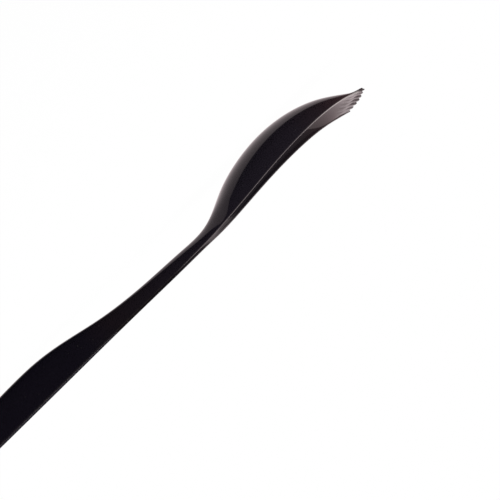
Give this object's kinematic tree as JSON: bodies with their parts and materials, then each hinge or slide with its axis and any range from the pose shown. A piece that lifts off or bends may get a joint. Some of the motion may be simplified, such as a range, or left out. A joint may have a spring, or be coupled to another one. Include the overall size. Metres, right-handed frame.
{
  "type": "uncapping scoop",
  "caption": "Gloss black plastic honeycomb uncapping scoop: toothed open lip, channel neck and a deep flat-sided grip with a snap-in cover strip.",
  "frame": {"origin": "on the centre plane at the heel of the scoop, level with the rims of the handle", "axes": "+X runs from the butt to the teeth, +Z points out of the scoop's open side, +Y is across the tool"},
  "size_m": [0.2916, 0.043, 0.0217],
  "materials": {
    "scoop_plastic": "gloss black injection moulding with a faint brown-violet cast",
    "cover_plastic": "the same black plastic, slightly less polished"
  },
  "bodies": {
    "root": {"scoop_body": "scoop_plastic", "grip_cover": "cover_plastic"}
  },
  "joints": []
}
